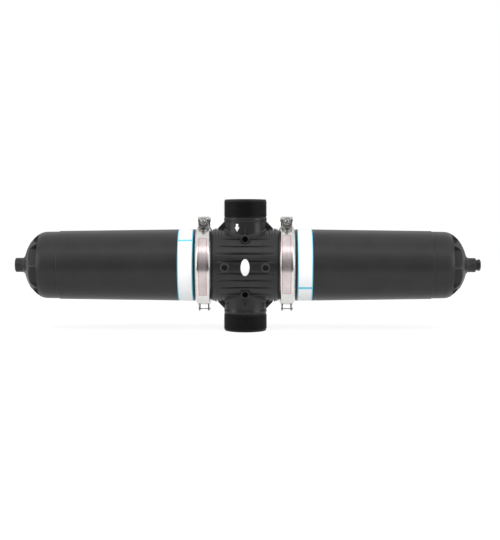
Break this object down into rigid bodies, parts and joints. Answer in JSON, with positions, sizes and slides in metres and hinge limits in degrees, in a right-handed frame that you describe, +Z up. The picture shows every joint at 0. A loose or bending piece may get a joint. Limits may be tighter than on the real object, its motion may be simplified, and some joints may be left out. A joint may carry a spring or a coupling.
{
  "type": "twin disc filter",
  "caption": "Inline water filter: a moulded manifold with threaded ports above and below, and clamped bowl covers with disc stacks on both sides.",
  "frame": {"origin": "where the ports' vertical axis crosses the covers' horizontal axis, in the middle of the manifold", "axes": "+X along the covers towards the drain plug, +Y to the rear, away from the side with the blind bosses and latch forks, +Z up through the inlet port"},
  "size_m": [0.9636, 0.1646, 0.2716],
  "materials": {
    "black_plastic": "fine moulded grain, satin",
    "white_film": "printed film with plain blue edge lines",
    "black_rubber": "smooth",
    "stainless_sheet": "polished stainless sheet",
    "stainless_machined": "turned and rolled stainless",
    "disc_plastic": "finely grooved discs",
    "core_plastic": "smooth moulded"
  },
  "bodies": {
    "filter_body": {"manifold_body": "black_plastic", "left_cover": "black_plastic", "right_cover": "black_plastic", "left_label_sleeve": "white_film", "right_label_sleeve": "white_film", "left_cover_seal": "black_rubber", "right_cover_seal": "black_rubber", "left_spine": "core_plastic", "right_spine": "core_plastic", "left_spine_seal": "black_rubber", "right_spine_seal": "black_rubber", "left_disc_stack": "disc_plastic", "right_disc_stack": "disc_plastic", "left_stack_cap": "core_plastic", "right_stack_cap": "core_plastic", "left_stack_nut": "core_plastic", "right_stack_nut": "core_plastic", "left_clamp_front": "stainless_sheet", "left_clamp_rear": "stainless_sheet", "right_clamp_front": "stainless_sheet", "right_clamp_rear": "stainless_sheet", "left_latch_fork": "stainless_sheet", "right_latch_fork": "stainless_sheet", "left_eye_bracket": "stainless_sheet", "right_eye_bracket": "stainless_sheet", "left_hinge_pin": "stainless_machined", "right_hinge_pin": "stainless_machined", "left_pivot_pin": "stainless_machined", "right_pivot_pin": "stainless_machined"},
    "left_bolt": {"left_swing_bolt": "stainless_machined"},
    "left_washer": {"left_bolt_washer": "stainless_machined"},
    "left_nut": {"left_bolt_nut": "stainless_machined"},
    "right_bolt": {"right_swing_bolt": "stainless_machined"},
    "right_washer": {"right_bolt_washer": "stainless_machined"},
    "right_nut": {"right_bolt_nut": "stainless_machined"},
    "plug_seal": {"drain_plug_seal": "black_rubber"},
    "plug": {"drain_plug": "black_plastic"}
  },
  "joints": [
    {"name": "left_bolt_swing", "type": "hinge", "parent": "filter_body", "child": "left_bolt", "pos_m": [-0.0856, 0.024, 0.0925], "axis": [-1, 0, 0], "range_deg": [0, 140]},
    {"name": "left_nut_travel", "type": "slide", "parent": "left_bolt", "child": "left_washer", "axis": [0, -1, 0], "range_m": [0, 0.0065]},
    {"name": "left_nut_turn", "type": "hinge", "parent": "left_washer", "child": "left_nut", "pos_m": [-0.0856, -0.0284, 0.0925], "axis": [0, -1, 0], "range_deg": [0, 1728]},
    {"name": "right_bolt_swing", "type": "hinge", "parent": "filter_body", "child": "right_bolt", "pos_m": [0.0856, 0.024, 0.0925], "axis": [-1, 0, 0], "range_deg": [0, 140]},
    {"name": "right_nut_travel", "type": "slide", "parent": "right_bolt", "child": "right_washer", "axis": [0, -1, 0], "range_m": [0, 0.0065]},
    {"name": "right_nut_turn", "type": "hinge", "parent": "right_washer", "child": "right_nut", "pos_m": [0.0856, -0.0284, 0.0925], "axis": [0, -1, 0], "range_deg": [0, 1728]},
    {"name": "plug_travel", "type": "slide", "parent": "filter_body", "child": "plug_seal", "axis": [1, 0, 0], "range_m": [0, 0.0125]},
    {"name": "plug_turn", "type": "hinge", "parent": "plug_seal", "child": "plug", "pos_m": [0.4803, 0, 0], "axis": [1, 0, 0], "range_deg": [0, 2340]}
  ],
  "couplings": [
    {"joint": "left_nut_travel", "follows": "left_nut_turn", "m_per_rad": 0.00019894},
    {"joint": "right_nut_travel", "follows": "right_nut_turn", "m_per_rad": 0.00019894},
    {"joint": "plug_travel", "follows": "plug_turn", "m_per_rad": 0.00028871}
  ]
}
